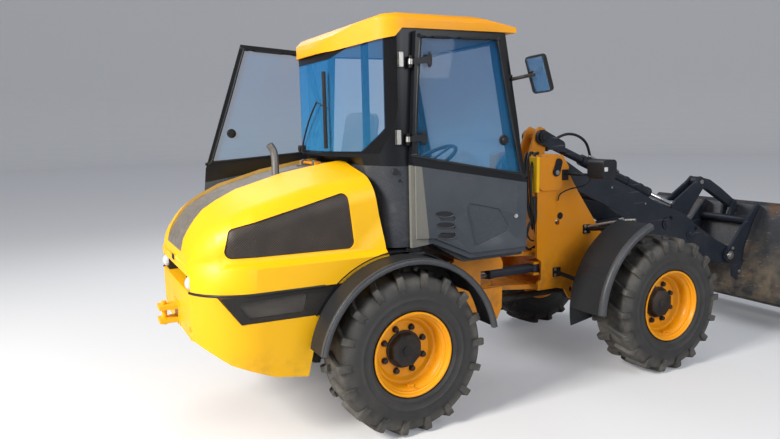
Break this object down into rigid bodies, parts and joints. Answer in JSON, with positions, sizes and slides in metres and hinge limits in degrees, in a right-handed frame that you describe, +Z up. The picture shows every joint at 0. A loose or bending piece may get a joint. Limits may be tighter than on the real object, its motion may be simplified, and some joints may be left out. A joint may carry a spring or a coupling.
{
  "type": "wheel loader",
  "caption": "Compact articulated wheel loader with a glazed cab, a bucket on a parallel-lift boom, lug tyres and an engine hood at the rear.",
  "frame": {"origin": "on the ground, under the middle of the overall box in plan, machine straight with the boom as it parks", "axes": "+X forward along the machine, +Y to the machine's left, +Z up"},
  "size_m": [5.564, 1.86, 2.4863],
  "materials": {
    "yellow": "gloss yellow machine paint, weathered",
    "black_paint": "satin black paint, scratched",
    "dark_plastic": "textured black plastic",
    "cab_grey": "dark grey paint",
    "tyre": "dusty tread rubber",
    "rim": "yellow rim paint",
    "hub": "black painted casting",
    "glass": "tinted cab glass",
    "chrome": "polished ram rod",
    "steel": "bare steel pin",
    "bucket_steel": "worn black paint over steel",
    "cloth": "seat cloth",
    "engine": "dark casting",
    "frame_yellow": "yellow frame paint"
  },
  "bodies": {
    "rear_frame": {"rear_chassis": "frame_yellow", "rear_axle": "hub", "engine_block": "engine", "counterweight": "yellow", "side_panels": "dark_plastic", "tow_hitch": "yellow", "rear_fenders": "dark_plastic", "cab_frame": "cab_grey", "cab_glass": "glass", "cab_roof": "yellow", "cab_console": "dark_plastic", "seat_base": "dark_plastic", "seat": "cloth", "steering_wheel": "dark_plastic", "mirrors": "dark_plastic", "rear_lamps": "dark_plastic"},
    "front_frame": {"front_frame": "frame_yellow", "front_axle": "hub", "front_fenders": "dark_plastic", "headlamps": "dark_plastic"},
    "boom": {"boom": "black_paint"},
    "tip_pins": {"boom_tip_pins": "steel"},
    "tool": {"quick_hitch": "black_paint", "bucket": "bucket_steel"},
    "bellcrank_pin": {"bellcrank_pin": "steel"},
    "bellcrank": {"bellcrank": "black_paint"},
    "link_pin": {"link_pin": "steel"},
    "link": {"tilt_link": "black_paint"},
    "tilt_barrel": {"tilt_ram_barrel": "black_paint"},
    "tilt_rod": {"tilt_ram_rod": "chrome"},
    "lift_barrels": {"lift_ram_barrels": "black_paint"},
    "lift_rods": {"lift_ram_rods": "chrome"},
    "steer_barrel": {"steering_ram_barrel": "black_paint"},
    "steer_rod": {"steering_ram_rod": "chrome"},
    "door_left": {"door_left": "cab_grey", "door_left_glass": "glass"},
    "door_right": {"door_right": "cab_grey", "door_right_glass": "glass"},
    "hood": {"hood": "yellow", "hood_grilles": "dark_plastic", "exhaust_stub": "steel"},
    "wheel_front_left": {"tyre_front_left": "tyre", "rim_front_left": "rim", "hub_front_left": "hub"},
    "wheel_front_right": {"tyre_front_right": "tyre", "rim_front_right": "rim", "hub_front_right": "hub"},
    "wheel_rear_left": {"tyre_rear_left": "tyre", "rim_rear_left": "rim", "hub_rear_left": "hub"},
    "wheel_rear_right": {"tyre_rear_right": "tyre", "rim_rear_right": "rim", "hub_rear_right": "hub"}
  },
  "joints": [
    {"name": "steer", "type": "hinge", "parent": "rear_frame", "child": "front_frame", "pos_m": [-0.395, 0, 0], "axis": [0, 0, 1], "range_deg": [-40, 40]},
    {"name": "boom_lift", "type": "hinge", "parent": "front_frame", "child": "boom", "pos_m": [0.04, 0, 1.498], "axis": [0, -1, 0], "range_deg": [-5.5, 72]},
    {"name": "tip_pin_turn", "type": "hinge", "parent": "boom", "child": "tip_pins", "pos_m": [2.023, 0, 0.631], "axis": [0, -1, 0], "range_deg": [-73.44, 5.61]},
    {"name": "bucket_tilt", "type": "hinge", "parent": "tip_pins", "child": "tool", "pos_m": [2.023, 0, 0.631], "axis": [0, -1, 0], "range_deg": [-22, 62]},
    {"name": "bellcrank_pin_turn", "type": "hinge", "parent": "boom", "child": "bellcrank_pin", "pos_m": [1.561, 0, 0.856], "axis": [0, -1, 0], "range_deg": [-73.44, 5.61]},
    {"name": "bellcrank_turn", "type": "hinge", "parent": "bellcrank_pin", "child": "bellcrank", "pos_m": [1.561, 0, 0.856], "axis": [0, -1, 0], "range_deg": [-22.44, 63.24]},
    {"name": "link_pin_turn", "type": "hinge", "parent": "bellcrank", "child": "link_pin", "pos_m": [1.907, 0, 1.273], "axis": [0, -1, 0], "range_deg": [-5.61, 73.44]},
    {"name": "link_turn", "type": "hinge", "parent": "link_pin", "child": "link", "pos_m": [1.907, 0, 1.273], "axis": [0, -1, 0], "range_deg": [-63.24, 22.44]},
    {"name": "tilt_ram_turn", "type": "hinge", "parent": "front_frame", "child": "tilt_barrel", "pos_m": [0.087, 0, 1.72], "axis": [0, -1, 0], "range_deg": [-5.61, 73.44]},
    {"name": "tilt_ram_slide", "type": "slide", "parent": "tilt_barrel", "child": "tilt_rod", "axis": [0.9213, 0, -0.3889], "range_m": [-0.1969, 0.0699]},
    {"name": "lift_ram_turn", "type": "hinge", "parent": "front_frame", "child": "lift_barrels", "pos_m": [0.12, 0, 0.87], "axis": [0, -1, 0], "range_deg": [-4.77, 62.45]},
    {"name": "lift_ram_slide", "type": "slide", "parent": "lift_barrels", "child": "lift_rods", "axis": [0.9961, 0, 0.0887], "range_m": [-0.0556, 0.7282]},
    {"name": "steering_ram_turn", "type": "hinge", "parent": "front_frame", "child": "steer_barrel", "pos_m": [-0.082, -0.21, 0.745], "axis": [0, 0, 1], "range_deg": [-24.13, 24.13]},
    {"name": "steering_ram_slide", "type": "slide", "parent": "steer_barrel", "child": "steer_rod", "axis": [-0.9996, -0.0269, 0], "range_m": [-0.1533, 0.1533]},
    {"name": "hood_open", "type": "hinge", "parent": "rear_frame", "child": "hood", "pos_m": [-1.77, 0, 1.6], "axis": [0, 1, 0], "range_deg": [0, 45]},
    {"name": "door_right_open", "type": "hinge", "parent": "rear_frame", "child": "door_right", "pos_m": [-1.398, -0.69, 1.75], "axis": [-0.0533, 0, -0.9986], "range_deg": [0, 150]},
    {"name": "door_left_close", "type": "hinge", "parent": "rear_frame", "child": "door_left", "pos_m": [-1.398, 0.69, 1.75], "axis": [0.0533, 0, 0.9986], "range_deg": [-168, 0]},
    {"name": "wheel_front_left_spin", "type": "hinge", "parent": "front_frame", "child": "wheel_front_left", "pos_m": [0.642, 0.725, 0.495], "axis": [0, 1, 0], "continuous": true},
    {"name": "wheel_front_right_spin", "type": "hinge", "parent": "front_frame", "child": "wheel_front_right", "pos_m": [0.642, -0.725, 0.495], "axis": [0, 1, 0], "continuous": true},
    {"name": "wheel_rear_left_spin", "type": "hinge", "parent": "rear_frame", "child": "wheel_rear_left", "pos_m": [-1.48, 0.725, 0.495], "axis": [0, 1, 0], "continuous": true},
    {"name": "wheel_rear_right_spin", "type": "hinge", "parent": "rear_frame", "child": "wheel_rear_right", "pos_m": [-1.48, -0.725, 0.495], "axis": [0, 1, 0], "continuous": true}
  ],
  "couplings": [
    {"joint": "tip_pin_turn", "follows": "boom_lift", "ratio": -1},
    {"joint": "bellcrank_pin_turn", "follows": "boom_lift", "ratio": -1},
    {"joint": "link_pin_turn", "follows": "boom_lift", "ratio": 1},
    {"joint": "tilt_ram_turn", "follows": "boom_lift", "ratio": 1},
    {"joint": "lift_ram_turn", "follows": "boom_lift", "ratio": 0.85028},
    {"joint": "lift_ram_slide", "follows": "boom_lift", "m_per_rad": 0.56812},
    {"joint": "bellcrank_turn", "follows": "bucket_tilt", "ratio": 1},
    {"joint": "link_turn", "follows": "bucket_tilt", "ratio": -1},
    {"joint": "tilt_ram_slide", "follows": "bucket_tilt", "m_per_rad": -0.17839},
    {"joint": "steering_ram_turn", "follows": "steer", "ratio": -0.59138},
    {"joint": "steering_ram_slide", "follows": "steer", "m_per_rad": 0.21534}
  ]
}
